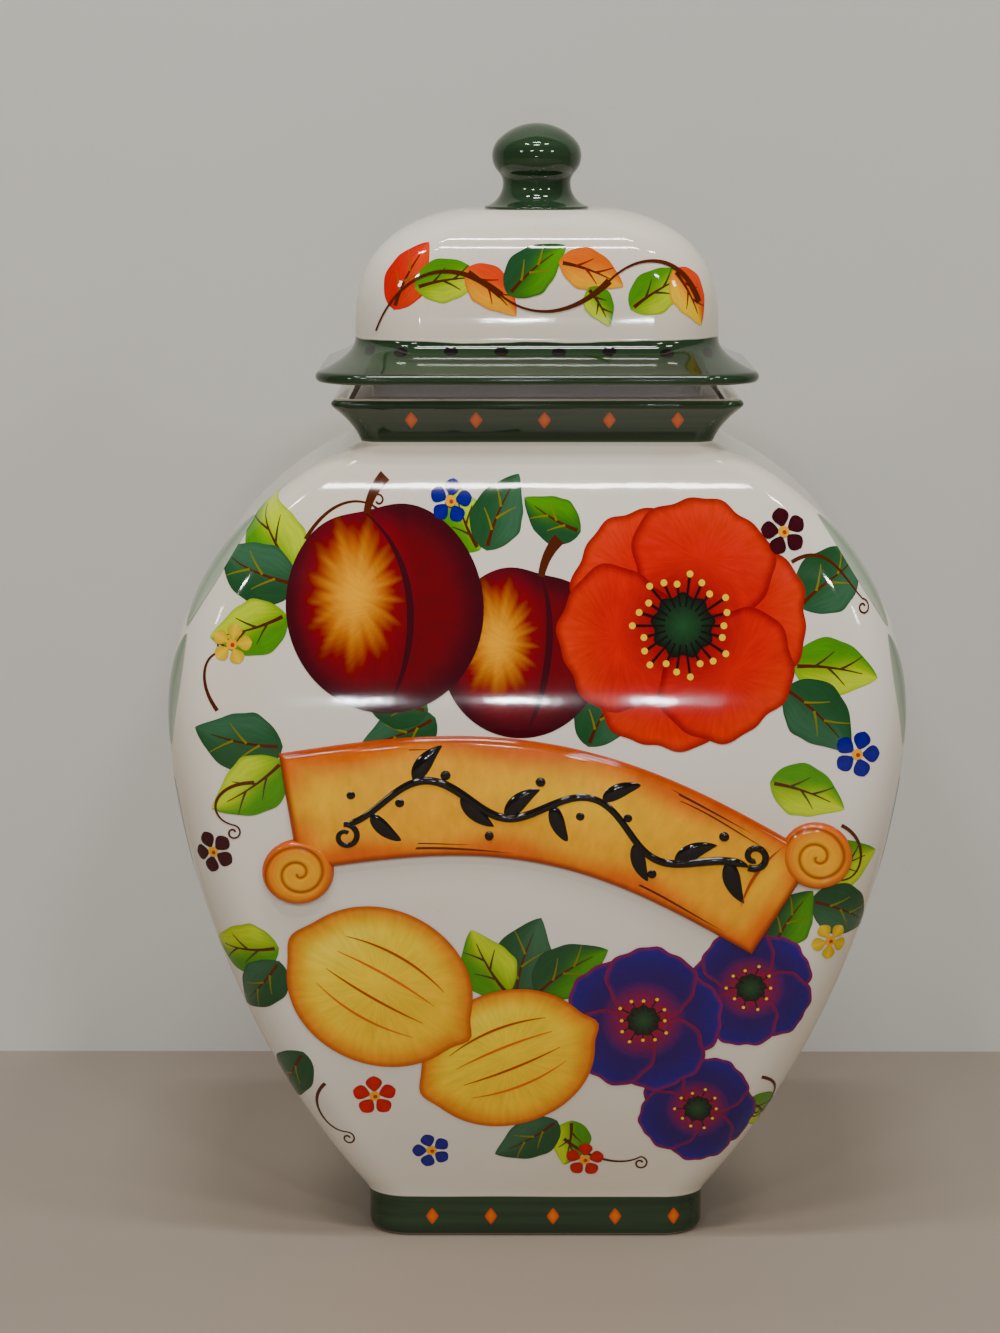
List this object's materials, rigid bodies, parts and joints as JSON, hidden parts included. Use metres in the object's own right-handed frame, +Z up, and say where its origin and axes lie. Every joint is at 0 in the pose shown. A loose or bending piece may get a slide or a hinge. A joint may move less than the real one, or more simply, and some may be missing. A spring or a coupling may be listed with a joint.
{
  "type": "biscuit jar",
  "caption": "Flattened full-bellied ceramic biscuit jar on a short foot, with a flared rim, lift-off domed lid, round knob, soft sealing ring and a raised front scroll.",
  "frame": {"origin": "on the table under the middle of the jar's foot", "axes": "+Z up through the knob, the decorated front faces -Y, +X to the viewer's right"},
  "size_m": [0.206, 0.1265, 0.3192],
  "materials": {
    "white_glaze": "glossy",
    "gold_glaze": "glossy",
    "lid_glaze": "glossy",
    "green_glaze": "glossy",
    "seal": "satin"
  },
  "bodies": {
    "jar": {"jar_body": "white_glaze", "scroll_panel": "gold_glaze"},
    "lid": {"lid_shell": "lid_glaze", "lid_knob": "green_glaze", "lid_seal": "seal"}
  },
  "joints": [
    {"name": "lid_lift", "type": "slide", "parent": "jar", "child": "lid", "axis": [0, 0, 1], "range_m": [0, 0.12]}
  ]
}
